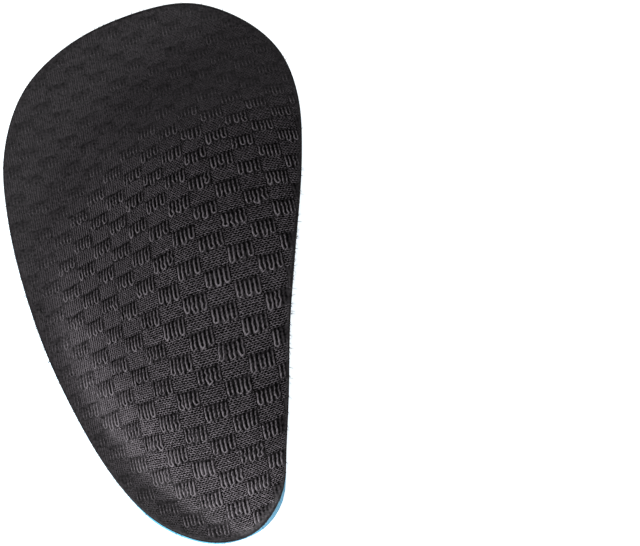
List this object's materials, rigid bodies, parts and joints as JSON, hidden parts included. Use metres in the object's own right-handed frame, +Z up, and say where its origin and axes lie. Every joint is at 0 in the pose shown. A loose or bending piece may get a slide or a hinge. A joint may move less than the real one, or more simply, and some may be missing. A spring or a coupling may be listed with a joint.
{
  "type": "arch support pad",
  "caption": "Contoured foam arch support pad with a checker-knit cloth cover, a flat underside, a thin rim and a high inner edge.",
  "frame": {"origin": "middle of the flat underside's bounding box", "axes": "+X towards the inner side of the foot, +Y towards the toes, +Z up out of the cloth"},
  "size_m": [0.0721, 0.135, 0.0205],
  "materials": {
    "foam": "matte closed-cell foam, cut edge",
    "cloth": "black checker-pattern knit with a faint sheen"
  },
  "bodies": {
    "root": {"foam_pad": "foam", "fabric_cover": "cloth"}
  },
  "joints": []
}
